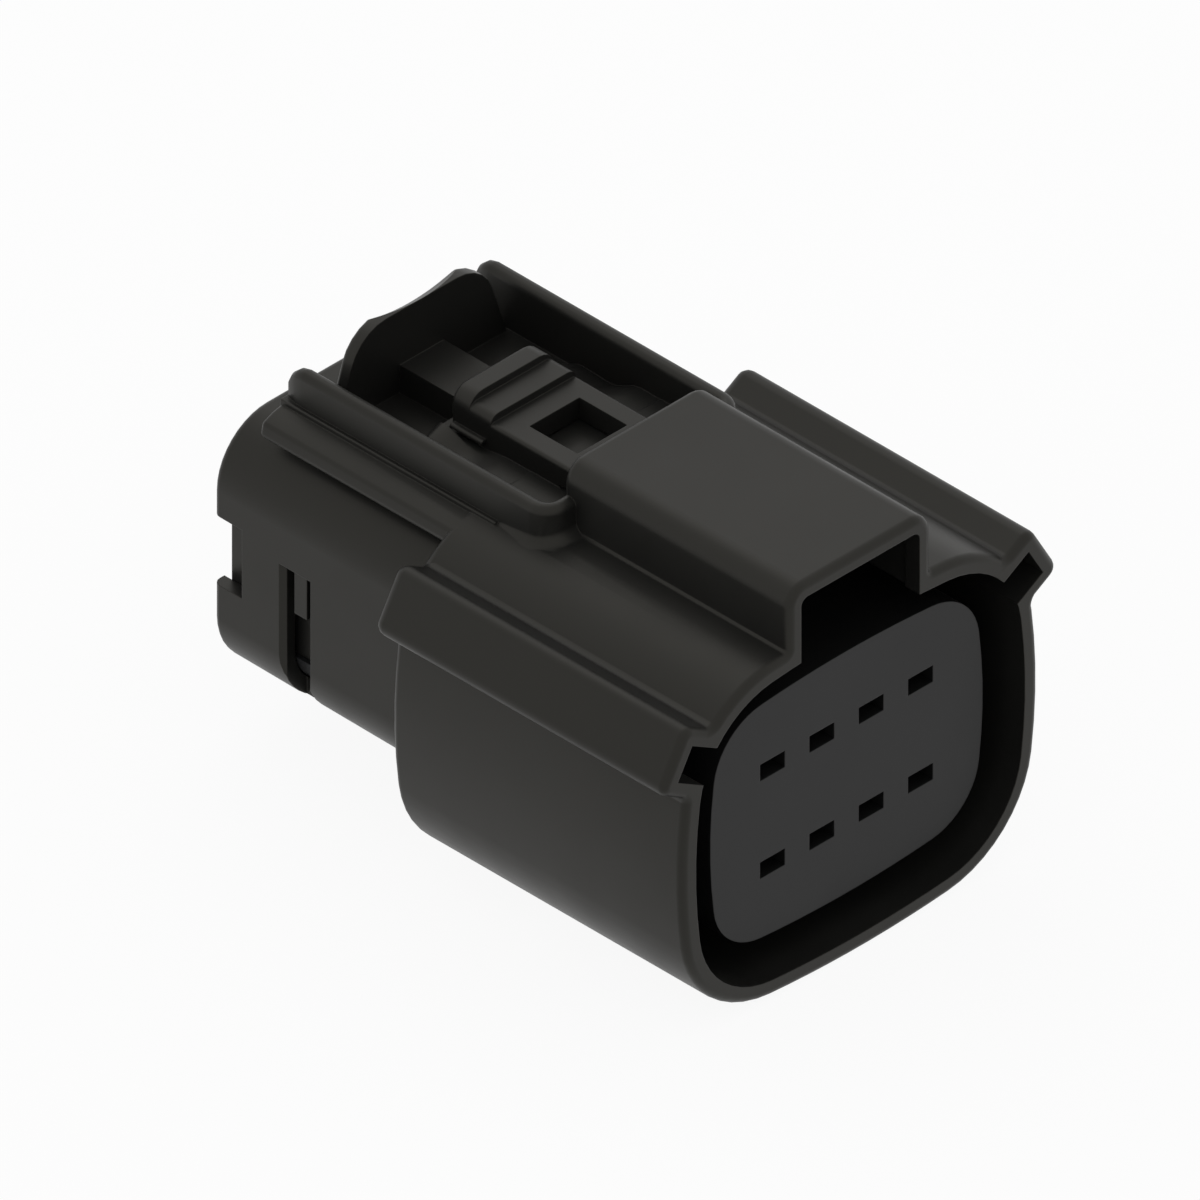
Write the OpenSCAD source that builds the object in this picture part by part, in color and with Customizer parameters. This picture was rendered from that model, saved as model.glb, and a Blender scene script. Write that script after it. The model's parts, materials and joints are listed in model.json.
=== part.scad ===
// Sealed connector housing for two rows of blade contacts, with a sliding secondary lock in its nose.
// Millimetres. +Z is up, the mating face looks along -Y, and the part stands on its shroud.
// Inside the modules y is the depth behind the shroud's front rim, and z starts midway between the rows.

/* [Contacts] */
// Distance between neighbouring contacts in a row
pitch = 3.5; // [3.3:0.1:4.5]
// Distance between the two rows
row_gap = 6; // [5.8:0.1:7.5]
// Contacts in each row
columns = 4; // [4:1:8]
// Width of a blade window
window_w = 1.75; // [1.5:0.05:2.2]
// Height of a blade window
window_h = 1; // [0.8:0.05:1.4]
// Width of a terminal cavity
cavity_w = 2.6; // [2.2:0.1:2.8]
// Height of a terminal cavity
cavity_h = 3.3; // [2.6:0.1:3.8]

/* [Nose] */
// From the outer contacts to the side of the nose
nose_side = 4.42; // [4.2:0.01:5.5]
// From a row of contacts to the top or bottom of the nose
nose_cap = 4.43; // [4.2:0.01:5.5]
// Radius of the nose's corners
nose_corner_r = 3.7; // [2.6:0.1:4]
// Radius of the gently crowned top and bottom
nose_crown_r = 68; // [40:1:120]
// Radius of the gently crowned sides
nose_side_r = 30; // [20:1:60]
// How far the nose stands behind the shroud's rim
nose_setback = 1; // [0.6:0.1:3]

/* [Shroud] */
// Length of the shroud
shroud_l = 20.65; // [19:0.05:26]
// Gap round the nose that takes the mating half's wall
shroud_gap = 2; // [1.6:0.1:2.6]
// Wall of the shroud
shroud_wall = 1; // [0.8:0.05:1.4]
// Thickness of the shroud's floor
shroud_floor = 1.3; // [1:0.1:2]
// Rounding of the outer rims
rim_r = 0.45; // [0.2:0.05:0.6]

/* [Key rails] */
// Direction of the rails, up from the row
rail_angle = 30; // [20:1:40]
// Height of a rail over the shroud's corner
rail_rise = 1.86; // [1.3:0.02:2.6]
// Width of a rail's groove
rail_groove = 2.04; // [1.4:0.02:2.6]
// Wall round the groove
rail_wall = 0.9; // [0.7:0.05:1.2]
// How far the rail lies below the corner's centre
rail_shift = 0.14; // [0:0.02:0.6]
// Rounding of a rail's edges
rail_edge_r = 0.65; // [0.5:0.05:0.9]
// Hollow radius where a rail meets the shroud
rail_foot_r = 0.7; // [0.3:0.05:1]

/* [Hood] */
// Length of the hood over the latch
hood_l = 16.05; // [14:0.05:17]
// Width of the tunnel inside the hood
hood_tunnel = 8.4; // [7.6:0.1:9]
// Height of the tunnel over the shroud's cavity
hood_clear = 3.75; // [3.4:0.05:4.6]
// Wall of the hood
hood_wall = 0.87; // [0.7:0.01:1.2]
// Rounding of the hood's upper edges
hood_edge_r = 1.2; // [0.7:0.1:1.8]
// Hollow radius where the hood meets the shroud
hood_foot_r = 0.2; // [0.15:0.05:0.6]
// Depth of the lip round the hood's mouth
hood_lip = 1.05; // [0.6:0.05:2]
// How far the tunnel widens behind the lip
hood_relief = 0.2; // [0.1:0.05:0.3]

/* [Rear body] */
// Length of the body behind the shroud
rear_l = 15.6; // [15.2:0.05:20]
// How far the rear body's middle lies above the contacts
rear_lift = 0.71; // [0.3:0.01:1]
// Height of the rear body
rear_h = 15.16; // [14.6:0.01:17]
// Radius of the rear body's corners
rear_corner_r = 3.72; // [2.6:0.02:4.5]
// Wall round the seal well
rear_wall = 0.8; // [0.7:0.05:1.2]
// Growth of the rear body towards the shroud
rear_draft = 0.15; // [0:0.01:0.3]
// Depth of the seal well
well_depth = 7.6; // [7.2:0.1:9]

/* [Latch guard] */
// Distance between the fence walls
fence_gap = 12.36; // [11.6:0.02:12.8]
// Thickness of the fence walls
fence_t = 0.9; // [0.7:0.05:1.1]
// Height of the fence over the rear body
fence_rise = 3.91; // [3.4:0.01:4.6]
// Distance of the fence's end from the rear
fence_back = 2.4; // [1.8:0.1:4]
// Rounding of the fence's rear top corners
fence_end_r = 1.3; // [0.6:0.1:1.8]
// Outer radius of the fence's front corners
fence_turn_r = 1.4; // [1.1:0.1:2]
// Hollow radius at the foot of those corners
fence_foot_r = 0.7; // [0.3:0.05:0.9]
// Width of the ledge outside each fence wall
ledge_w = 1.82; // [1.2:0.02:2]
// Height of the ledge's lower edge over the rear body
ledge_low = 0.2; // [0.1:0.01:0.8]
// Lean of the ledge's outer face
ledge_lean = 0.2; // [0:0.05:0.4]
// Width of the bead at the foot of each fence wall
bead_w = 0.25; // [0.2:0.05:0.4]
// Height of that bead over the ledge
bead_h = 0.17; // [0.1:0.01:0.3]
// How far the bead runs onto the shroud
bead_over = 2.05; // [0.5:0.05:3]
// How far the guard plate's top stays below the hood's top
plate_drop = 0; // [0:0.05:0.6]
// Thickness of the guard plate
plate_t = 0.83; // [0.7:0.01:1.2]
// Distance of the guard plate from the rear
plate_back = 4.3; // [3.6:0.1:5]
// Radius of the guard plate's upper corners
plate_corner_r = 2.6; // [1.5:0.1:3]
// Lean of the guard plate's sides
plate_lean = 18; // [5:1:20]
// Rounding of the guard plate's rear edge
plate_edge_r = 0.3; // [0.1:0.05:0.5]
// Radius of the scoop in the guard plate's top
scoop_r = 14; // [11:0.5:20]
// Depth of that scoop at the plate's back
scoop_dip = 0.66; // [0.3:0.02:0.9]
// Height of the floor between the fence walls over the rear body
bay_floor = 0.77; // [0.5:0.01:1]
// Width of the bump under the thumb pad that stops its stroke
bump_w = 3.12; // [2.4:0.02:3.4]
// Height of that bump over the bay floor
bump_h = 1.67; // [1.2:0.01:1.8]
// How far the top of the shroud runs on behind its rear face
ramp_start = 1.1; // [0.5:0.1:2]
// How far the ramp beside the thumb pad runs on behind it
ramp_run = 0.5; // [0.4:0.05:0.8]
// Rounding of the ramp's rear edge
ramp_end_r = 0.5; // [0.2:0.05:0.6]
// Radius of the ramp's crown in front of the thumb pad
dip_r = 18; // [14:0.5:30]
// Radius of the ramp's crown beside the thumb pad
cheek_r = 10.8; // [9:0.1:14]
// Rise of the ramp's crown beside the thumb pad
cheek_rise = 0.78; // [0.4:0.02:0.9]

/* [Latch arm] */
// Width of the latch arm
arm_w = 6.1; // [5.4:0.1:6.6]
// Thickness of the latch arm
arm_t = 1.27; // [1:0.01:1.5]
// Top of the latch arm over the shroud
arm_rise = 1.34; // [1.3:0.01:1.7]
// Depth of the arm's front end behind the rim
arm_front = 7; // [6:0.1:9]
// Gap between the thumb pad and the guard plate
finger_gap = 5.06; // [4.2:0.02:5.7]
// Length of the thumb pad
pad_l = 2.85; // [2.4:0.05:3.4]
// Length of the thumb pad's upper step
pad_step_l = 1.3; // [0.9:0.05:1.6]
// Height of each of the pad's two steps
pad_step = 0.44; // [0.3:0.01:0.6]
// Rounding of the pad's edges
pad_r = 0.6; // [0.4:0.05:0.8]
// How far the thumb pad's side wings stand out
wing_w = 0.35; // [0.2:0.05:0.5]
// Height of those wings
wing_h = 0.22; // [0.2:0.02:0.4]
// Clearance beside the wings
wing_clear = 0.05; // [0.05:0.05:0.2]
// Rounding of the arm's upper edges
arm_edge_r = 0.25; // [0.1:0.05:0.4]
// Width of each leg under the arm
leg_t = 0.88; // [0.6:0.02:1]
// Clearance between the thumb pad and the bump under it
bump_clear = 0.3; // [0.2:0.05:0.5]
// Depth of the thumb pad's channel over the bump
channel_h = 0.55; // [0.3:0.05:0.8]
// Width of the arm's window
arm_window_w = 3.54; // [3:0.02:4]
// Length of the arm's window
arm_window_l = 3.4; // [2.4:0.1:4]
// Length of arm between the window and the thumb pad
bridge_l = 1.5; // [1:0.1:2]
// How far the catch reaches below the arm
catch_drop = 1.8; // [1.2:0.1:2]
// Length of the catch
catch_l = 2; // [1.4:0.1:3]

/* [Secondary lock] */
// Thickness of the lock's front plate
lock_plate = 1.3; // [1:0.1:2]
// Wall of the lock's skirt
lock_wall = 0.85; // [0.7:0.05:1.1]
// Length of the lock's skirt behind the plate
lock_skirt = 7.7; // [7:0.1:9]
// Travel from the seated place to the pre-lock place
lock_travel = 1.6; // [1:0.1:2]
// Sliding clearance between the lock and the tower
lock_clear = 0.15; // [0.1:0.01:0.25]
// Length of the stops on the tower
stop_l = 1.2; // [0.8:0.1:1.6]
// Height of the stops along the tower's side
stop_rise = 3; // [2:0.1:4]
// Length of skirt behind the openings for the stops
skirt_end = 1.5; // [1:0.1:2]

/* [Terminal lances] */
// Width of a lance
lance_w = 1.6; // [1.2:0.1:1.8]
// Thickness of a lance
lance_t = 0.7; // [0.5:0.05:0.9]
// Length of a lance
lance_l = 6; // [4:0.1:8]
// How far a lance's hook stands into the cavity
lance_hook = 0.45; // [0.3:0.05:0.6]
// Width of the cuts beside a lance
lance_cut = 0.3; // [0.2:0.02:0.36]
// How far the lances start behind the tower's front
lance_back = 0.3; // [0.1:0.05:0.6]

/* [Seals and retainer] */
// Length of the seal ring on the tower
ring_l = 4; // [3:0.1:4.4]
// How far the ring's ribs stand out past the nose
ring_lip = 0.55; // [0.2:0.05:0.9]
// Ribs on the ring
ring_ribs = 3; // [2:1:4]
// Share of a rib's length in each of its flanks
rib_flank = 0.3; // [0.2:0.01:0.4]
// Clearance round the seated seals and the retainer
seat_clear = 0.08; // [0.05:0.01:0.15]
// Thickness of the retainer's plate
retainer_t = 2.5; // [2:0.1:2.8]
// How far the retainer's plate lies inside the well's mouth
retainer_set = 0.45; // [0:0.05:0.6]
// Diameter of the retainer's wire holes
wire_d = 2.8; // [2.2:0.1:3]
// Diameter of the seal's wire holes
seal_hole_d = 1.7; // [1:0.1:2]
// Thickness of the retainer's side walls
hook_t = 0.95; // [0.7:0.05:1.1]
// Height of the retainer's side walls
hook_h = 8.7; // [7:0.1:8.8]
// Height of the retainer's edge that shows in the notch
key_h = 3.2; // [2.4:0.1:3.6]
// Width of the relief under that edge
key_gap = 0.6; // [0.3:0.05:0.8]
// Length of a lug on the retainer's side walls
lug_l = 0.9; // [0.6:0.05:1.1]
// Height of a lug
lug_h = 2.55; // [1.6:0.05:3]
// How far the lugs stay inside the housing's outer face
lug_set = 0.1; // [0.05:0.05:0.3]
// Bevel of a side slot's outer edges
slot_edge = 0.25; // [0.1:0.05:0.4]
// Length of a side slot
slot_l = 1.65; // [1.2:0.05:2]
// Distance of the side slot's front edge from the rear
slot_back = 6.65; // [5.85:0.05:6.85]
// Length of the notch in each side wall at the rear
notch_l = 2.05; // [1.2:0.05:2.4]
// Height of that notch
notch_h = 4.2; // [3.8:0.1:5]
// How far the notch's middle lies above the contacts
notch_lift = 1; // [0.6:0.05:1.2]

/* [Hidden] */
bite = 0.5;                      // how far joined shapes run into each other
past = 1;                        // how far a cut runs out of what it cuts
fillet_n = 4;                    // facets of a rounded rim
corner_n = 10;                   // facets of a nose corner
edge_n = 5;                      // facets of a small rounded edge
ramp_n = 9;                      // facets across the ramp
hole_fn = 48;

nose_half_w = (columns - 1) / 2 * pitch + nose_side;
nose_half_h = row_gap / 2 + nose_cap;
overall_l = shroud_l + rear_l;
shroud_out = shroud_gap + shroud_wall;
axis_h = nose_half_h + shroud_out;
floor_y = shroud_l - shroud_floor;

side_c = [nose_half_w - nose_side_r, 0];
top_c = [0, nose_half_h - nose_crown_r];
corner_c = crossing(top_c, nose_crown_r - nose_corner_r, side_c, nose_side_r - nose_corner_r);
side_turn = atan2(corner_c.y - side_c.y, corner_c.x - side_c.x);
top_turn = atan2(corner_c.y - top_c.y, corner_c.x - top_c.x);

rail_half = rail_groove / 2 + rail_wall;
rail_top = nose_corner_r + shroud_out + rail_rise;

hood_half = hood_tunnel / 2 + hood_wall;
hood_roof = nose_half_h + shroud_gap + hood_clear;
hood_top = hood_roof + hood_wall;

rear_half = nose_half_w;
rear_top = rear_lift + rear_h / 2;
rear_low = rear_lift - rear_h / 2;
well_half = rear_half - rear_wall;
well_y = overall_l - well_depth;

fence_x = fence_gap / 2 + fence_t / 2;
fence_top = rear_top + fence_rise;
fence_end = overall_l - fence_back;
fence_y = hood_l - bite;
fence_edge_r = 0.49 * fence_t;
fence_taper = 0.3;               // how fast the fence thins towards its end, per unit of its drop
ledge_edge_r = 0.35;
flush = 0.03;                    // how far surfaces that carry on the shroud lie below its own
plate_y = overall_l - plate_back - plate_t;
bay_z = rear_top + bay_floor;

arm_back = plate_y - finger_gap;
arm_top = axis_h + arm_rise;
arm_low = arm_top - arm_t;
pad_y = arm_back - pad_l;
ramp_top = axis_h - flush;
dip_y = (shroud_l + ramp_start + arm_back) / 2;
ramp_y = arm_back + ramp_run;
window_y = pad_y - bridge_l - arm_window_l;

lock_back = nose_setback + lock_plate;
tower_in = -lock_wall - lock_clear;
tower_y = lock_back + lock_clear;
stop_x = nose_half_w + tower_in;
stop_out = nose_half_w - lock_wall / 3;
stop_y = lock_back + lock_skirt - lock_travel - stop_l - skirt_end;
ring_y = lock_back + lock_skirt + lock_clear;
shoulder_y = ring_y + ring_l + seat_clear;

lance_z = (row_gap - cavity_h) / 2;
lance_y = tower_y + lance_back;
lance_free = lance_w / 2 + lance_cut;
lance_gap = lance_z - lance_t;
tongue_half = (columns - 1) / 2 * pitch + lance_free;

slot_at = overall_l - slot_back;
retainer_y = overall_l - retainer_set - retainer_t;
hook_mid = rear_lift;
hook_end = slot_at + seat_clear;
slot_top = hook_mid + key_h / 2 + seat_clear;
hook_x = well_half - seat_clear;
lug_x = rear_half - lug_set;

// Points along an arc, with the ends left out where skip is 1
function arc(c, r, a0, a1, n, skip = 0) =
    [for (i = [skip : n - skip]) let (a = a0 + (a1 - a0) * i / n) c + r * [cos(a), sin(a)]];

// Upper right crossing of two circles, which centres a corner tangent to two crowned sides
function crossing(p, rp, q, rq) =
    let (d = q - p, l = norm(d), along = (rp * rp - rq * rq + l * l) / (2 * l))
    p + d / l * along + [d.y, -d.x] / l * sqrt(rp * rp - along * along);

// The nose's crowned outline, offset outwards by e
function crowned_half(e) = concat(
    arc(side_c, nose_side_r + e, -side_turn, side_turn, 5),
    arc(corner_c, nose_corner_r + e, side_turn, top_turn, corner_n, 1),
    arc(top_c, nose_crown_r + e, top_turn, 180 - top_turn, 9),
    arc([-corner_c.x, corner_c.y], nose_corner_r + e, 180 - top_turn, 180 - side_turn, corner_n, 1));
function crowned(e) = concat(crowned_half(e), -1 * crowned_half(e));

// Height of a surface that carries on the shroud's upper corners
function shroud_z(x) =
    corner_c.y + sqrt(pow(nose_corner_r + shroud_out, 2) - pow(x - corner_c.x, 2)) - flush;

// Height of the shroud's top, crowned in the middle and round at the corners
function top_z(x) =
    x < corner_c.x + (nose_corner_r + shroud_out) * cos(top_turn)
    ? top_c.y + sqrt(pow(nose_crown_r + shroud_out, 2) - x * x) : shroud_z(x) + flush;

// A convex outline from its corners [x, z, radius], counter-clockwise, offset outwards by e
function normal(a, b) = let (d = [b.x - a.x, b.y - a.y]) [d.y, -d.x] / norm(d);
function rounded(corners, e = 0, n = edge_n) =
    [for (i = [0 : len(corners) - 1])
        let (p = corners[i], m = len(corners))
        let (n1 = normal(corners[(i + m - 1) % m], p), n2 = normal(p, corners[(i + 1) % m]))
        let (inward = (n1 + n2) / (1 + n1 * n2), at = [p.x, p.y])
        let (start = atan2(n1.y, n1.x), turn = acos(min(1, n1 * n2)))
        for (q = p[2] > 0 ? arc(at - p[2] * inward, p[2] + e, start, start + turn, n) : [at + e * inward]) q];

// A rectangle from x0 to x1 and z0 to z1 with upper and lower corner radii
function block(x0, x1, z0, z1, top_r = 0, low_r = 0) =
    [[x1, z0, low_r], [x1, z1, top_r], [x0, z1, top_r], [x0, z0, low_r]];

// Depths and insets that round off the front end by r0 and the back end by r1
function rounding(y0, y1, r0, r1) = concat(
    [for (i = [r0 > 0 ? 0 : fillet_n : fillet_n]) let (a = 90 * i / fillet_n)
        [y0 + r0 * (1 - cos(a)), r0 * (1 - sin(a))]],
    [for (i = [fillet_n : -1 : r1 > 0 ? 0 : fillet_n]) let (a = 90 * i / fillet_n)
        [y1 - r1 * (1 - cos(a)), r1 * (1 - sin(a))]]);

function ring(points, y) = [for (p = points) [p.x, y, p.y]];

// Skin over a row of rings with equal counts of points, the first ring in front
module loft(rings) {
    n = len(rings[0]);
    m = len(rings);
    front = [for (k = [n : -1 : 1]) k % n];
    back = [for (k = [0 : n - 1]) (m - 1) * n + k];
    sides = [for (i = [0 : m - 2]) for (k = [0 : n - 1])
        [i * n + k, i * n + (k + 1) % n, (i + 1) * n + (k + 1) % n, (i + 1) * n + k]];
    polyhedron(points = [for (r = rings) each r], faces = concat([front, back], sides));
}

// A bar along y with a rounded outline and rounded ends
module bar(corners, y0, y1, r0 = 0, r1 = 0)
    loft([for (p = rounding(y0, y1, r0, r1)) ring(rounded(corners, -p[1]), p[0])]);

// Extrudes an outline in x and z along y
module run(y0, y1)
    translate([0, y1, 0]) rotate([90, 0, 0]) linear_extrude(y1 - y0) children();

// Extrudes an outline in y and z across the part
module across(x0, x1)
    translate([x0, 0, 0]) rotate([90, 0, 90]) linear_extrude(x1 - x0) children();

module both_sides() {
    children();
    mirror([1, 0, 0]) children();
}

module at_columns()
    for (i = [0 : columns - 1]) translate([(i - (columns - 1) / 2) * pitch, 0, 0]) children();

module at_contacts()
    at_columns() for (row = [-1, 1]) translate([0, 0, row * row_gap / 2]) children();

// Moves a finished sub-part into the shared frame
module placed()
    translate([0, -overall_l / 2, axis_h]) children();

// A point of the right-hand rail: a along the rail's ray from the corner's centre, b across it
function on_rail(p) = corner_c + p.x * [cos(rail_angle), sin(rail_angle)]
    + p.y * [-sin(rail_angle), cos(rail_angle)];
function rail_outline(half, top, r, e) =
    [for (p = rounded([[0, -half - rail_shift, 0], [top, -half - rail_shift, r],
                       [top, half - rail_shift, r], [0, half - rail_shift, 0]], e)) on_rail(p)];

// Hollow corner between a rail's side, at height b, and the shroud's round corner, offset inwards by d
function rail_foot(b, d) =
    let (r = rail_foot_r, reach = nose_corner_r + shroud_out + r, cy = abs(b) + r)
    let (cx = sqrt(reach * reach - cy * cy), turn = atan2(cy, cx) - 180)
    let (ends = b > 0 ? [-90, turn] : [turn, -90])
    [for (p = concat([[cx - r - 2 * bite, cy - r - 2 * bite]],
                     arc([cx, cy], r + d + flush, ends[0], ends[1], edge_n))) on_rail([p.x, sign(b) * p.y])];

module rails_outside()
    both_sides() {
        ends = rounding(0, shroud_l, rim_r, rail_edge_r);
        loft([for (p = ends) ring(rail_outline(rail_half, rail_top, rail_edge_r, -p[1]), p[0])]);
        for (b = [rail_half - rail_shift, -rail_half - rail_shift])
            loft([for (p = ends) ring(rail_foot(b, p[1]), p[0])]);
    }

// Hollow corner between the hood's wall and the shroud's top
module hood_feet() {
    low = axis_h - hood_half * hood_half / 2 / nose_crown_r;
    c = [hood_half + hood_foot_r, low + hood_foot_r];
    both_sides() loft([for (p = rounding(0, hood_l, rim_r, rim_r))
        ring(concat([[hood_half - 2 * bite, low - 2 * bite]],
                    arc(c, hood_foot_r + p[1] + flush / 3, 270, 180, fillet_n)), p[0])]);
}

// One half of the latch guard's fence: across from the hood, round the corner and back to the rear
function fence_ring(at, heading, drop, e) =
    let (right = [sin(heading), -cos(heading)])
    [for (p = rounded(block(-fence_t / 2, fence_t / 2, rear_lift, fence_top - drop, fence_edge_r), e))
        [at.x + p.x * right.x, at.y + p.x * right.y, p.y]];
module fence_half() {
    r = fence_turn_r - fence_t / 2;
    turn = arc([fence_x - r, fence_y + r], r, -90, 0, edge_n);
    loft(concat(
        [fence_ring([hood_half - bite, fence_y], 0, 0, 0)],
        [for (i = [0 : edge_n]) fence_ring(turn[i], 90 * i / edge_n, 0, 0)],
        [for (p = rounding(fence_y, fence_end, 0, fence_end_r)) if (p[0] > fence_y)
            fence_ring([fence_x, p[0]], 90, p[1], -fence_taper * p[1])]));
}

// Hollow round the foot of the fence's front corner, which dies out at the bead
function foot_ring(at, heading, r) =
    let (right = [sin(heading), -cos(heading)], wall = fence_t / 2)
    let (base = top_z(at.x + right.x * wall), fall = atan((base - top_z(at.x + right.x * (wall + r))) / r))
    let (c = [wall + r, base + r / cos(fall) - r * tan(fall)])
    [for (p = concat([[0, base - bite]], arc(c, r + flush / 3, 270 - fall, 180, edge_n)))
        [at.x + p.x * right.x, at.y + p.x * right.y, p.y]];
module fence_foot() {
    r = fence_turn_r - fence_t / 2;
    turn = arc([fence_x - r, fence_y + r], r, -90, 0, edge_n);
    loft(concat([foot_ring([hood_half - bite, fence_y], 0, fence_foot_r)],
        [for (i = [0 : edge_n]) foot_ring(turn[i], 90 * i / edge_n, fence_foot_r)],
        [foot_ring([fence_x, shroud_l - bead_over + bite], 90, bead_w / 2)]));
}

module guard() {
    inner = fence_gap / 2 + bite / 2;
    foot = fence_gap / 2 + fence_t;
    edge = foot + ledge_w - ledge_lean;
    low = rear_top + ledge_low;
    bead_top = shroud_z(foot) + bead_h;
    both_sides() {
        fence_half();
        fence_foot();
        bar([[inner, low, 0], [foot + ledge_w, low, ledge_edge_r], [edge, shroud_z(edge), ledge_edge_r],
             [foot + ledge_w / 2, shroud_z(foot + ledge_w / 2), 0], [inner, shroud_z(inner), 0]],
            floor_y, fence_end, 0, 0.8 * ledge_edge_r);
        bar(block(inner, foot + bead_w, bead_top - bite, bead_top, bead_w / 3),
            shroud_l - bead_over, fence_end, bead_w / 4, bead_w / 4);
    }
    run(floor_y, plate_y + plate_t) polygon(rounded(block(-inner, inner, rear_lift, bay_z)));
    difference() {
        ramp();
        run(dip_y, ramp_y + past) let (room = arm_w / 2 + wing_w + wing_clear)
            polygon(rounded(block(-room, room, arm_low - bump_clear, hood_top)));
    }
    run(arm_back - pad_step_l, plate_y + bite)
        polygon(rounded(block(-bump_w / 2, bump_w / 2, rear_lift, bay_z + bump_h)));
    guard_plate();
}

// Ramp that carries on the shroud's top: its crown tightens, rises beside the thumb pad and rolls off
function eased(a, b, t) = a + (b - a) * t * t * (3 - 2 * t);
function ramp_section(y, top, bend) =
    let (inner = fence_gap / 2 + bite / 2)
    ring(concat([[-inner, rear_lift], [inner, rear_lift]],
        [for (i = [ramp_n : -2 : -ramp_n]) let (x = inner * i / ramp_n) [x, top - bend * x * x / 2]]), y);
module ramp() {
    start = shroud_l + ramp_start;
    end = ramp_y - ramp_end_r;
    high = ramp_top + cheek_rise;
    loft(concat(
        [ramp_section(floor_y, ramp_top, 1 / nose_crown_r)],
        [for (i = [0 : edge_n]) let (t = i / edge_n)
            ramp_section(start + (dip_y - start) * t, ramp_top, eased(1 / nose_crown_r, 1 / dip_r, t))],
        [for (i = [1 : edge_n]) let (t = i / edge_n)
            ramp_section(dip_y + (end - dip_y) * t, eased(ramp_top, high, t),
                         eased(1 / dip_r, 1 / cheek_r, t))],
        [for (i = [1 : fillet_n]) let (a = 90 * i / fillet_n)
            ramp_section(end + ramp_end_r * sin(a), high - ramp_end_r * (1 - cos(a)), 1 / cheek_r)]));
}

// Plate behind the thumb pad, with its rear top edge scooped out
module guard_plate() {
    top = hood_top - plate_drop;
    low_half = fence_gap / 2;
    top_half = low_half - (top - bay_z + bite) * tan(plate_lean);
    difference() {
        bar([[low_half, bay_z - bite, 0], [top_half, top, plate_corner_r],
             [-top_half, top, plate_corner_r], [-low_half, bay_z - bite, 0]],
            plate_y, plate_y + plate_t, 0, plate_edge_r);
        translate([0, plate_y, top]) rotate([-90 - atan2(scoop_dip, plate_t), 0, 0])
            translate([0, -scoop_r, -past]) cylinder(r = scoop_r, h = 4 * plate_t + past, $fn = 2 * hole_fn);
    }
}

// Latch arm with its thumb pad, window and catch, standing on two side legs
module latch_arm() {
    half = arm_w / 2;
    channel = bump_w / 2 + bump_clear;
    difference() {
        union() {
            bar(block(-half, half, arm_low, arm_top, arm_edge_r), arm_front, arm_back - pad_r, arm_edge_r, 0);
            bar(block(-half, half, arm_low, arm_top + pad_step, pad_r), pad_y, arm_back, 0, pad_r / 2);
            bar(block(-half, half, arm_low, arm_top + 2 * pad_step, pad_r + pad_step),
                arm_back - pad_step_l, arm_back, 0, pad_r / 2);
        }
        run(pad_y, arm_back + past)
            polygon(rounded(block(-channel, channel, arm_low - past, arm_low + channel_h)));
        run(window_y, window_y + arm_window_l)
            polygon(rounded(block(-arm_window_w / 2, arm_window_w / 2, arm_low - past, arm_top + past)));
    }
    both_sides() {
        run(pad_y + pad_r / 2, arm_back - pad_r / 2)
            polygon(rounded([[half + wing_w, arm_low, 0], [half + wing_w, arm_low + wing_h, 0.9 * wing_h],
                             [channel, arm_low + wing_h, 0], [channel, arm_low, 0]]));
        run(window_y, pad_y + bridge_l)
            polygon(rounded(block(half - leg_t, half, bay_z, arm_low + bite)));
    }
    across(-half, half) polygon([[arm_front, arm_low + bite], [arm_front, arm_low - catch_drop / 3],
        [arm_front + catch_l / 2, arm_low - catch_drop], [arm_front + catch_l, arm_low - catch_drop],
        [arm_front + catch_l, arm_low + bite]]);
}

// Tower that carries the terminals, stepped down for the lock and the seal ring
module tower_block() {
    run(tower_y, floor_y) polygon(crowned(tower_in));
    run(shoulder_y, floor_y) polygon(crowned(0));
    both_sides() translate([0, 0, -stop_rise / 2]) linear_extrude(stop_rise)
        polygon([[stop_x - bite, stop_y], [stop_x, stop_y], [stop_out, stop_y + stop_l / 2],
                 [stop_out, stop_y + stop_l], [stop_x - bite, stop_y + stop_l]]);
}

// Cavities for the terminals, and the cuts that free a lance in each
module terminal_space() {
    at_contacts() translate([-cavity_w / 2, tower_y - past, -cavity_h / 2])
        cube([cavity_w, well_y - tower_y + 2 * past, cavity_h]);
    translate([-tongue_half, tower_y - past, -lance_gap])
        cube([2 * tongue_half, past + lance_back + lance_l, 2 * lance_gap]);
    at_columns() {
        translate([-lance_free, tower_y - past, -lance_z - bite])
            cube([2 * lance_free, past + lance_back, 2 * lance_z + 2 * bite]);
        for (x = [-lance_free, lance_w / 2]) translate([x, tower_y - past, -lance_z - bite])
            cube([lance_cut, past + lance_back + lance_l, 2 * lance_z + 2 * bite]);
    }
}

// Hooks on the lances' tips, steep in front and sloped towards the rear
module lance_hooks()
    at_columns() for (side = [0, 1]) mirror([0, 0, side])
        across(-lance_w / 2, lance_w / 2) polygon([[lance_y, lance_z - lance_t / 2],
            [lance_y, lance_z + lance_hook], [lance_y + lance_hook, lance_z + lance_hook],
            [lance_y + lance_l / 2, lance_z - lance_t / 2]]);

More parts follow.
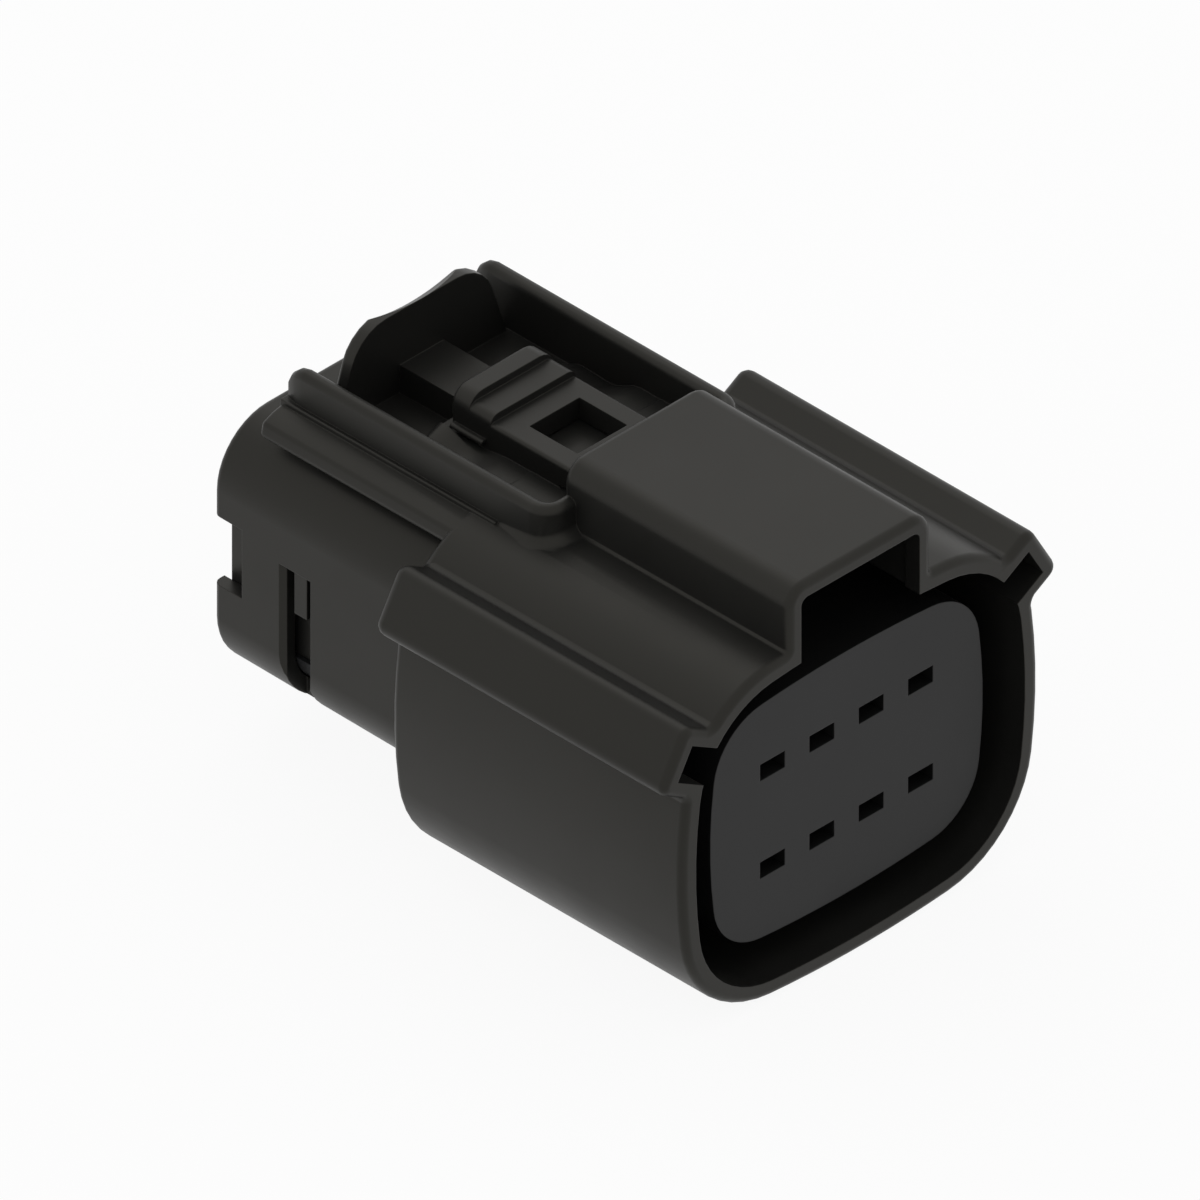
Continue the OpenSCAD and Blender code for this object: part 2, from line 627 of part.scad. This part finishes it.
module outside() {
    loft([for (p = rounding(0, shroud_l, rim_r, rim_r)) ring(crowned(shroud_out - p[1]), p[0])]);
    rails_outside();
    bar(block(-hood_half, hood_half, 0, hood_top, hood_edge_r), 0, hood_l, rim_r, rim_r);
    hood_feet();
    rear = block(-rear_half, rear_half, rear_low, rear_top, rear_corner_r, rear_corner_r);
    loft(concat([ring(rounded(rear, rear_draft, corner_n), floor_y)],
        [for (p = rounding(shroud_l, overall_l, 0, rim_r)) if (p[0] > shroud_l)
            ring(rounded(rear, -p[1], corner_n), p[0])]));
    guard();
}

// The shroud's cavity, the rail grooves and the tunnel under the hood
module mating_space() {
    run(-past, floor_y) polygon(crowned(shroud_gap));
    both_sides() run(-past, shroud_l - rail_wall)
        polygon(rail_outline(rail_groove / 2, rail_top - rail_wall, 0, 0));
    half = hood_tunnel / 2;
    run(-past, hood_l + past) polygon(rounded(block(-half, half, 0, hood_roof, rim_r)));
    wide = half + hood_relief;
    run(hood_lip, hood_l - hood_lip)
        polygon(rounded(block(-wide, wide, 0, hood_roof + hood_relief, rim_r)));
}

// The seal well's outline, with a clearance inside it
module well_outline(clear) {
    r = rear_corner_r - rear_wall;
    polygon(rounded(block(-well_half, well_half, rear_low + rear_wall, rear_top - rear_wall, r, r),
                    -clear, corner_n));
}

// The seal well, with its notches and slots in the side walls
module rear_space() {
    run(well_y, overall_l + past) well_outline(0);
    both_sides() {
        translate([well_half - bite, overall_l - notch_l, notch_lift - notch_h / 2])
            cube([rear_wall + past, notch_l + past, notch_h]);
        translate([0, 0, rear_low]) linear_extrude(slot_top - rear_low)
            let (edge = rear_half - slot_edge, out = rear_half + past, slot_end = slot_at + slot_l)
            polygon([[well_half, slot_at], [edge, slot_at], [out, slot_at - out + edge],
                     [out, slot_end + out - edge], [edge, slot_end], [well_half, slot_end]]);
    }
}

module shell()
    difference() {
        outside();
        mating_space();
    }

// All the space in front of the shroud's floor
module ahead()
    translate([-overall_l, -past, -overall_l]) cube([2 * overall_l, past + floor_y, 2 * overall_l]);

// Rear body, floor and guard. The shroud, the tower and the latch are moulded onto it
module housing() color("#2c2c2c") placed()
    difference() {
        shell();
        ahead();
        latch_arm();
        rear_space();
        terminal_space();
    }

// Sleeve round the nose with the key rails and the hood, open at both ends
module shroud() color("#2c2c2c") placed()
    difference() {
        intersection() {
            shell();
            ahead();
        }
        latch_arm();
    }

module tower() color("#2c2c2c") placed() {
    difference() {
        tower_block();
        terminal_space();
    }
    lance_hooks();
}

module latch() color("#2c2c2c") placed() latch_arm();

module secondary_lock() color("#333333") placed() {
    tongue_x = tongue_half - lock_clear;
    tongue_z = lance_gap - lock_clear;
    translate([-tongue_x, lock_back - bite, -tongue_z])
        cube([2 * tongue_x, bite + lance_back + lock_travel, 2 * tongue_z]);
    difference() {
        run(nose_setback, lock_back + lock_skirt) polygon(crowned(0));
        run(lock_back, lock_back + lock_skirt + past) polygon(crowned(-lock_wall));
        at_contacts() translate([-window_w / 2, nose_setback - past, -window_h / 2])
            cube([window_w, lock_plate + 2 * past, window_h]);
        both_sides()
            translate([nose_half_w - 2 * lock_wall, stop_y - lock_clear, -stop_rise / 2 - lock_clear])
            cube([2 * lock_wall + past, stop_l + lock_travel + 2 * lock_clear, stop_rise + 2 * lock_clear]);
    }
}

module interface_seal() color("#7d7f80") placed() {
    step = ring_l / ring_ribs;
    flank = rib_flank * step;
    sections = [for (y = [0 : step : ring_l - step / 2])
        each [[y, -lock_clear], [y + flank, ring_lip], [y + step - flank, ring_lip]]];
    difference() {
        loft([for (p = concat(sections, [[ring_l, -lock_clear]])) ring(crowned(p[1]), ring_y + p[0])]);
        run(ring_y - past, ring_y + ring_l + past) polygon(crowned(tower_in + seat_clear));
    }
}

module mat_seal() color("#7d7f80") placed() {
    pocket_x = hook_x - hook_t - seat_clear;
    difference() {
        run(well_y + seat_clear, retainer_y - seat_clear) well_outline(seat_clear);
        at_contacts() translate([0, overall_l, 0]) rotate([90, 0, 0])
            cylinder(d = seal_hole_d, h = overall_l, $fn = hole_fn);
        both_sides() translate([pocket_x, hook_end - past, hook_mid - hook_h / 2 - seat_clear])
            cube([hook_t + past, overall_l, hook_h + 2 * seat_clear]);
    }
}

module seal_retainer() color("#2f2f2f") placed() {
    difference() {
        run(retainer_y, retainer_y + retainer_t) well_outline(seat_clear);
        at_contacts() translate([0, overall_l + past, 0]) rotate([90, 0, 0])
            cylinder(d = wire_d, h = retainer_set + retainer_t + 2 * past, $fn = hole_fn);
        both_sides() translate([hook_x - key_gap, retainer_y - past, hook_mid - key_h / 2 - key_gap])
            cube([key_gap + past, retainer_t + 2 * past, key_gap]);
    }
    both_sides() {
        translate([hook_x - hook_t, hook_end, hook_mid - hook_h / 2])
            cube([hook_t, retainer_y + bite - hook_end, hook_h]);
        translate([0, 0, slot_top - seat_clear - lug_h]) linear_extrude(lug_h)
            polygon([[hook_x - bite, hook_end], [hook_x, hook_end], [lug_x, hook_end + lug_l / 2],
                     [lug_x, hook_end + lug_l], [hook_x - bite, hook_end + lug_l]]);
    }
}

housing();
shroud();
tower();
latch();
secondary_lock();
interface_seal();
mat_seal();
seal_retainer();
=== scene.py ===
# %% [markdown]
# A sealed connector housing with 2 rows of 4 contacts. The CAD solids already hold its main shapes, so
# Blender's work here is the finish: mouldings without seams, black plastic that mirrors a white studio,
# rubber, and the view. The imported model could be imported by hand.

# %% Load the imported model
import json
import math
import bpy
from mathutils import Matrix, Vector

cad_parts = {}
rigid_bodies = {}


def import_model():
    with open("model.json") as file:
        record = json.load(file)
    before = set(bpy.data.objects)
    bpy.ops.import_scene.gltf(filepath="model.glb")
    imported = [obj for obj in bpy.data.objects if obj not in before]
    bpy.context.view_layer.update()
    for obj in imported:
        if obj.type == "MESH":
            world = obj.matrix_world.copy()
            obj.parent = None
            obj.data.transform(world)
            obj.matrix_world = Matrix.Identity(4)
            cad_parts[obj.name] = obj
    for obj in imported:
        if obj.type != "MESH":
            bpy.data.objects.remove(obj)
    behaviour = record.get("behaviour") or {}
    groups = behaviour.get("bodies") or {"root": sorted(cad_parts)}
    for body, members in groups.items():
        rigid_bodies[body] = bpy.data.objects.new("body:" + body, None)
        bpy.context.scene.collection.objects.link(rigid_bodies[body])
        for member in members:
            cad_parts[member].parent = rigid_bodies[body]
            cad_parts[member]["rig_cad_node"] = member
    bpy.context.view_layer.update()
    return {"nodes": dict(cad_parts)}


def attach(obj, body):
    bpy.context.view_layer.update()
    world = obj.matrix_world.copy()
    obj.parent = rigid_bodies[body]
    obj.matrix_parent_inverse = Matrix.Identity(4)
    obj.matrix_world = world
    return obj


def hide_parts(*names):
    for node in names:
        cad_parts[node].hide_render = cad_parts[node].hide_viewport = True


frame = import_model()
MM = 0.001

# %% [markdown]
# The picture is a parallel view: edges that run in depth stay parallel, and all three axes are foreshortened
# alike. That is an isometric view. A long lens from far away would come close to it, and an orthographic
# camera gives it exactly. It stands at the isometric elevation, turned to the left of the mating face. Its
# scale is the width of the frame in metres. The Standard view shows a colour about as it is written.

# %% Camera
LOOK_AT = Vector((0.0, 0.355, 12.26)) * MM
AZIMUTH = math.radians(-45)
ELEVATION = math.atan(1 / math.sqrt(2))
FRAME_WIDTH = 60.18 * MM
CAMERA_AWAY = 400 * MM
NEAREST, FARTHEST = 1 * MM, 5000 * MM
towards = Vector((math.sin(AZIMUTH) * math.cos(ELEVATION), -math.cos(AZIMUTH) * math.cos(ELEVATION),
                  math.sin(ELEVATION)))
bpy.ops.object.select_all(action="DESELECT")
bpy.ops.object.camera_add(location=LOOK_AT + towards * CAMERA_AWAY,
                          rotation=(math.pi / 2 - ELEVATION, 0, AZIMUTH))
camera = bpy.context.object
camera.name = "isometric_camera"
camera.data.type = "ORTHO"
camera.data.ortho_scale = FRAME_WIDTH
camera.data.clip_start = NEAREST
camera.data.clip_end = FARTHEST
bpy.context.scene.camera = camera
bpy.context.scene.view_settings.view_transform = "Standard"
print("camera at", [round(v, 4) for v in camera.location])

# %% [markdown]
# Colours are written as sRGB hex, as a colour picker shows them, and shaders work in linear light. One
# function converts them. Another adds a node, sets it up and links its inputs, so each material reads as a
# short list of nodes. Nodes could also be placed by hand in the editor, but a list is easier to change.
# The Mix node has sockets of the same name for numbers, vectors and colours, so its colour sockets are picked
# by number.

# %% Colour and node helpers
MIX_A, MIX_B, MIX_COLOUR = 6, 7, 2


def colour(hex_code):
    """sRGB hex text to a linear RGBA colour."""
    channels = [int(hex_code[i:i + 2], 16) / 255 for i in (1, 3, 5)]
    return [c / 12.92 if c <= 0.04045 else ((c + 0.055) / 1.055) ** 2.4 for c in channels] + [1.0]


def add_node(tree, kind, links=(), inputs=(), **settings):
    """A new node with its settings, its input values, and links given as (input, node, output)."""
    node = tree.nodes.new(kind)
    for name, value in settings.items():
        setattr(node, name, value)
    for name, value in dict(inputs).items():
        node.inputs[name].default_value = value
    for name, source, output in links:
        tree.links.new(source.outputs[output], node.inputs[name])
    return node


def blank_material(name):
    """A material whose node tree is empty."""
    material = bpy.data.materials.new(name)
    material.use_nodes = True
    material.node_tree.nodes.clear()
    return material


def per_mm(size_mm):
    """Texture scale, in metres, for a pattern whose cells are size_mm wide."""
    return 1 / (size_mm * MM)


print("helpers ready; mid grey is", [round(c, 3) for c in colour("#808080")[:3]])

# %% [markdown]
# The mouldings come from a spark-eroded mould, which leaves a fine even grain that softens reflections. The
# real grain is about 0.05 mm, too fine for this frame, so it is drawn at 0.16 mm. It could be modelled with
# displacement, but a bump is enough for something so shallow. A cloudy flow pattern of a few millimetres
# changes tone and gloss a little, as it does on real mouldings.
# No moulded edge is truly sharp. The Bevel node rounds the shading of the small edges that the solids keep
# sharp, such as those of the slots and windows, so each one catches a thin line of light.

# %% Moulded plastic
GRAIN_MM = 0.16
FLOW_MM = 5.0
EDGE_MM = 0.07
GLOSS_SPREAD = 0.03


def moulded_plastic(name, pale, dark, mirror, mirror_level, roughness, grain_depth_mm):
    """Plastic between two tones, with flow marks, grain and softened edges."""
    material = blank_material(name)
    tree = material.node_tree
    place = add_node(tree, "ShaderNodeTexCoord")
    flow = add_node(tree, "ShaderNodeTexNoise", [("Vector", place, "Object")],
                    {"Scale": per_mm(FLOW_MM), "Detail": 3.0, "Roughness": 0.55})
    grain = add_node(tree, "ShaderNodeTexNoise", [("Vector", place, "Object")],
                     {"Scale": per_mm(GRAIN_MM), "Detail": 2.0, "Roughness": 0.6})
    tone = add_node(tree, "ShaderNodeMix", [("Factor", flow, "Fac")],
                    {MIX_A: colour(dark), MIX_B: colour(pale)}, data_type="RGBA")
    gloss = add_node(tree, "ShaderNodeMapRange", [("Value", flow, "Fac")],
                     {"From Min": 0.3, "From Max": 0.7,
                      "To Min": roughness - GLOSS_SPREAD, "To Max": roughness + GLOSS_SPREAD})
    edges = add_node(tree, "ShaderNodeBevel", inputs={"Radius": EDGE_MM * MM}, samples=8)
    relief = add_node(tree, "ShaderNodeBump", [("Height", grain, "Fac"), ("Normal", edges, "Normal")],
                      {"Strength": 0.25, "Distance": grain_depth_mm * MM})
    skin = add_node(tree, "ShaderNodeBsdfPrincipled",
                    [("Base Color", tone, MIX_COLOUR), ("Roughness", gloss, "Result"),
                     ("Normal", relief, "Normal")],
                    {"IOR": 1.5, "Specular IOR Level": mirror_level, "Specular Tint": colour(mirror)})
    add_node(tree, "ShaderNodeOutputMaterial", [("Surface", skin, "BSDF")])
    return material


print("grain", GRAIN_MM, "mm, flow marks", FLOW_MM, "mm, edges", EDGE_MM, "mm")

# %% [markdown]
# The housing is glass-filled PBT, moulded black, and the nose lock is PBT without the glass. The plastic is
# nearly black in itself: what the eye sees is mostly the white studio mirrored in it. Glass fibres at the
# surface scatter part of that mirror image, so its level is low. It is slightly warm on the housing. The lock
# is darker and smoother, and neutral. One plain black for both would hide where one piece ends and the other
# begins.

# %% Two plastics
housing_plastic = moulded_plastic("black_glass_filled_PBT", pale="#1b1b1a", dark="#161615", mirror="#fffaec",
                                  mirror_level=0.275, roughness=0.42, grain_depth_mm=0.006)
lock_plastic = moulded_plastic("dark_unfilled_PBT", pale="#161616", dark="#121212", mirror="#ffffff",
                               mirror_level=0.23, roughness=0.36, grain_depth_mm=0.003)
print("plastics:", housing_plastic.name, lock_plastic.name)

# %% [markdown]
# The two seals are silicone rubber, moulded and wiped with oil: charcoal, with a faint sheen. A cloudy bloom
# of 0.3 mm changes tone and gloss a little. Only a corner of the wire seal shows, deep in the side slots, so
# a bump for its surface would be wasted.

# %% Silicone rubber
BLOOM_MM = 0.3


def silicone(name, pale, dark):
    """Rubber between two tones, with a cloudy bloom."""
    material = blank_material(name)
    tree = material.node_tree
    place = add_node(tree, "ShaderNodeTexCoord")
    bloom = add_node(tree, "ShaderNodeTexNoise", [("Vector", place, "Object")],
                     {"Scale": per_mm(BLOOM_MM), "Detail": 4.0})
    tone = add_node(tree, "ShaderNodeMix", [("Factor", bloom, "Fac")],
                    {MIX_A: colour(dark), MIX_B: colour(pale)}, data_type="RGBA")
    gloss = add_node(tree, "ShaderNodeMapRange", [("Value", bloom, "Fac")], {"To Min": 0.45, "To Max": 0.6})
    skin = add_node(tree, "ShaderNodeBsdfPrincipled",
                    [("Base Color", tone, MIX_COLOUR), ("Roughness", gloss, "Result")],
                    {"IOR": 1.43, "Specular IOR Level": 0.2, "Sheen Weight": 0.03})
    add_node(tree, "ShaderNodeOutputMaterial", [("Surface", skin, "BSDF")])
    return material


seal_rubber = silicone("charcoal_silicone_rubber", pale="#1e1f20", dark="#191a1b")
print("rubber:", seal_rubber.name)

# %% [markdown]
# A CAD node is never changed, so each piece starts as a copy of one. The mark that makes an object a node is
# taken off the copy. Solids that touch could be joined and their inner walls deleted by hand. A Boolean
# modifier does it in one step, and it can also cut one solid out of another.

# %% Copies and Booleans
def select_only(thing):
    """Selects one object and makes it active, because operators act on all that is selected."""
    bpy.ops.object.select_all(action="DESELECT")
    thing.select_set(True)
    bpy.context.view_layer.objects.active = thing


def copy_of(node):
    """A copy of a CAD node that may be changed."""
    select_only(frame["nodes"][node])
    bpy.ops.object.duplicate()
    piece = bpy.context.object
    del piece["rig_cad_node"]
    return piece


def combine(piece, other, operation):
    """Unites the piece with another solid, or cuts that solid out of it, and removes the other."""
    select_only(piece)
    bpy.ops.object.modifier_add(type="BOOLEAN")
    boolean = piece.modifiers[-1]
    boolean.operation = operation
    boolean.object = other
    bpy.ops.object.modifier_apply(modifier=boolean.name)
    select_only(other)
    bpy.ops.object.delete()


print("nodes to copy:", len(frame["nodes"]))

# %% [markdown]
# The side slots and notches need a few small corrections, the same on the left and on the right. Their
# vertices could be moved in edit mode. A block that is united with the piece, or cut out of it, says more
# plainly what is added or taken away. A cube is added at its size and place for each, by two of its corners.

# %% Blocks on both sides
def block(low, high):
    """A plain block between two opposite corners, in millimetres."""
    bpy.ops.object.select_all(action="DESELECT")
    low, high = Vector(low) * MM, Vector(high) * MM
    bpy.ops.mesh.primitive_cube_add(size=1, location=(low + high) / 2, scale=[abs(v) for v in high - low])
    bpy.ops.object.transform_apply()
    return bpy.context.object


def change_both_sides(piece, *changes):
    """Makes changes, given for the right side as (operation, corner, corner), on both sides."""
    for side in (-1, 1):
        for operation, low, high in changes:
            combine(piece, block((side * low[0], *low[1:]), (side * high[0], *high[1:])), operation)
    print(len(changes), "blocks a side on", piece.name)


# %% [markdown]
# A CAD mesh is made of loose triangles, and each curve in it is a row of flat facets. Subdivision would swell
# the flat walls, so only the shading is smoothed. The copy is merged into one skin, and triangles that lie in
# one plane are joined. Edges that turn by more than 30 degrees are marked sharp, and the other normals are
# weighted by face size: flat faces stay flat, and the facets of a rounded edge shade as one curve. The
# normals that came with the model are cleared first. Then the piece gets its material and stands in for its
# nodes.

# %% Smooth and place a piece
MERGE = 0.002 * MM
FLAT = math.radians(0.2)
CREASE = math.radians(30)


def smooth(piece):
    """Merges the mesh, marks its creases and weights its normals."""
    select_only(piece)
    bpy.ops.mesh.customdata_custom_splitnormals_clear()
    bpy.ops.object.mode_set(mode="EDIT")
    bpy.ops.mesh.select_mode(type="EDGE")
    bpy.ops.mesh.select_all(action="SELECT")
    bpy.ops.mesh.remove_doubles(threshold=MERGE)
    bpy.ops.mesh.dissolve_limited(angle_limit=FLAT)
    bpy.ops.mesh.dissolve_degenerate(threshold=MERGE)
    bpy.ops.mesh.mark_sharp(clear=True)
    bpy.ops.mesh.select_all(action="DESELECT")
    bpy.ops.mesh.edges_select_sharp(sharpness=CREASE)
    bpy.ops.mesh.mark_sharp()
    bpy.ops.object.mode_set(mode="OBJECT")
    bpy.ops.object.shade_smooth(keep_sharp_edges=True)
    bpy.ops.object.modifier_add(type="WEIGHTED_NORMAL")
    weighting = piece.modifiers[-1]
    weighting.keep_sharp = True
    bpy.ops.object.modifier_apply(modifier=weighting.name)


def place_piece(piece, name, nodes, body, material):
    """Smooths a copy, names it, and lets it stand in for its CAD nodes."""
    smooth(piece)
    piece.name = name
    piece.data.name = name
    piece.data.materials.clear()
    piece.data.materials.append(material)
    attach(piece, body)
    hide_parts(*nodes)
    print(name, "has", len(piece.data.polygons), "faces")


# %% [markdown]
# The housing is one injection moulding: shroud with hood and key rails, terminal tower, latch, and the rear
# body with its guard. It was packed as four solids, so that each keeps its own collision shape. Modelling it
# anew would only lose accuracy, and a union of the four copies makes it one skin again, without a seam.
# Each side slot runs on round the lower corner of the wall, so a block cuts it further there.

# %% Moulded housing
MOULDING = ["housing", "shroud", "tower", "latch"]
SLOT_FRONT, SLOT_BACK = 11.475, 13.125
SLOT_CORNER = ("DIFFERENCE", (8.0, SLOT_FRONT, 3.3), (8.9, SLOT_BACK, 7.3))
moulding = copy_of(MOULDING[0])
for node in MOULDING[1:]:
    combine(moulding, copy_of(node), "UNION")
change_both_sides(moulding, SLOT_CORNER)
place_piece(moulding, "moulded_housing", MOULDING, "body", housing_plastic)

# %% [markdown]
# The nose lock is a cap with eight blade windows. It slides on the tower, and pushed home it keeps the
# terminals from backing out. It could be extruded from a grid of inset faces. The solid has its windows and
# skirt already, so the copy is only smoothed. It rides on a body of its own, because it moves.

# %% Nose lock
place_piece(copy_of("secondary_lock"), "nose_lock", ["secondary_lock"], "lock", lock_plastic)

# %% [markdown]
# The ring seal is a ribbed rubber band round the tower, behind the nose lock. It keeps water out of the mated
# pair. The wire seal is a rubber block in the rear well, with a hole for each wire. A band could be a curve
# with a ribbed profile, and a block a cube with holes cut into it. Both solids have those shapes, and each
# must fit its seat, so the copies keep their sizes and get rubber's finish.

# %% Two rubber seals
place_piece(copy_of("interface_seal"), "ribbed_ring_seal", ["interface_seal"], "body", seal_rubber)
place_piece(copy_of("mat_seal"), "wire_mat_seal", ["mat_seal"], "body", seal_rubber)

# %% [markdown]
# The retainer is the cap behind the wire seal. Its two arms reach forward along the well, and the lug of each
# arm snaps into a side slot. Seen through the slot, the lug has a flat face and the arm below it lies deeper,
# and in the side notch the corner under the cap's edge is closed. The arms could be modelled again for that.
# Three blocks a side do it with less: two are united with the copy, and one is cut out of it.

# %% Rear retainer
ARM_X, THIN_ARM_X, LUG_X = 8.79, 8.49, 9.57
LUG_FRONT, LUG_LOW, LUG_HIGH = 11.575, 10.19, 12.74
CAP_FRONT, CAP_BACK = 15.175, 17.675
NOTCH_CORNER = ("UNION", (8.1, CAP_FRONT, 8.9), (ARM_X, CAP_BACK, 9.6))
LUG_FACE = ("UNION", (8.6, LUG_FRONT, LUG_LOW), (LUG_X, 12.2, LUG_HIGH))
THIN_ARM = ("DIFFERENCE", (THIN_ARM_X, 11.3, 6.5), (9.0, 13.6, LUG_LOW))
retainer = copy_of("seal_retainer")
change_both_sides(retainer, NOTCH_CORNER, LUG_FACE, THIN_ARM)
place_piece(retainer, "rear_retainer", ["seal_retainer"], "body", housing_plastic)

# %% [markdown]
# The part lies on a pale studio floor. More light would turn the floor white and bleach the part as well. So
# the floor glows plain white only for rays that come straight from the camera, from a glossy surface or
# through a clear one, which the Light Path node tells apart. A share of its matt paint stays in that view
# and keeps a faint shadow under the part.

# %% Pale floor
FLOOR_WIDTH = 3000 * MM
SHADOW_SHARE = 0.08


def seen_directly(tree):
    """1 for rays from the camera, a glossy surface or a clear one, and 0 for the rest."""
    path = add_node(tree, "ShaderNodeLightPath")
    first = add_node(tree, "ShaderNodeMath", [(0, path, "Is Camera Ray"), (1, path, "Is Glossy Ray")],
                     operation="MAXIMUM")
    return add_node(tree, "ShaderNodeMath", [(0, first, 0), (1, path, "Is Transmission Ray")],
                    operation="MAXIMUM")


floor_paint = blank_material("white_studio_floor")
tree = floor_paint.node_tree
share = add_node(tree, "ShaderNodeMath", [(0, seen_directly(tree), 0)], {1: 1 - SHADOW_SHARE},
                 operation="MULTIPLY")
matt = add_node(tree, "ShaderNodeBsdfDiffuse", inputs={"Color": colour("#f6f6f6")})
glow = add_node(tree, "ShaderNodeEmission", inputs={"Color": colour("#ffffff"), "Strength": 1.0})
blend = add_node(tree, "ShaderNodeMixShader", [(0, share, 0), (1, matt, 0), (2, glow, 0)])
add_node(tree, "ShaderNodeOutputMaterial", [("Surface", blend, 0)])
bpy.ops.object.select_all(action="DESELECT")
bpy.ops.mesh.primitive_plane_add(size=FLOOR_WIDTH, location=(0, 0, 0))
floor = bpy.context.object
floor.name = "studio_floor"
floor.data.materials.append(floor_paint)
print("floor", FLOOR_WIDTH, "m wide")

# %% [markdown]
# The room is white all round, as in a light tent. It could be a painted box, but the world does the same with
# no mesh. Rays that see it directly find full white, and the light it sheds on the part is a little lower.

# %% White room
ROOM_LIGHT, ROOM_SEEN = 0.75, 1.0
world = bpy.data.worlds.new("white_room")
bpy.context.scene.world = world
world.use_nodes = True
tree = world.node_tree
tree.nodes.clear()
level = add_node(tree, "ShaderNodeMapRange", [("Value", seen_directly(tree), 0)],
                 {"To Min": ROOM_LIGHT, "To Max": ROOM_SEEN})
room = add_node(tree, "ShaderNodeBackground", [("Strength", level, "Result")], {"Color": colour("#ffffff")})
add_node(tree, "ShaderNodeOutputWorld", [("Surface", room, "Background")])
print("room light", ROOM_LIGHT, "seen at", ROOM_SEEN)

# %% [markdown]
# One wide lamp, a softbox, hangs over the part and a little behind it. A small lamp or the sun would throw
# hard shadows into the slots. This one lifts the upper faces and rims the rear edges, and its width keeps
# every shadow soft.

# %% Soft light
LAMP_PLACE = Vector((70, 165, 255)) * MM
LAMP_WIDTH = 220 * MM
LAMP_WATTS = 0.07
aim = (LOOK_AT - LAMP_PLACE).to_track_quat("-Z", "Y").to_euler()
bpy.ops.object.select_all(action="DESELECT")
bpy.ops.object.light_add(type="AREA", location=LAMP_PLACE, rotation=aim)
lamp = bpy.context.object
lamp.name = "overhead_softbox"
lamp.data.shape = "DISK"
lamp.data.size = LAMP_WIDTH
lamp.data.energy = LAMP_WATTS
print("lamp:", lamp.name, LAMP_WATTS, "W")
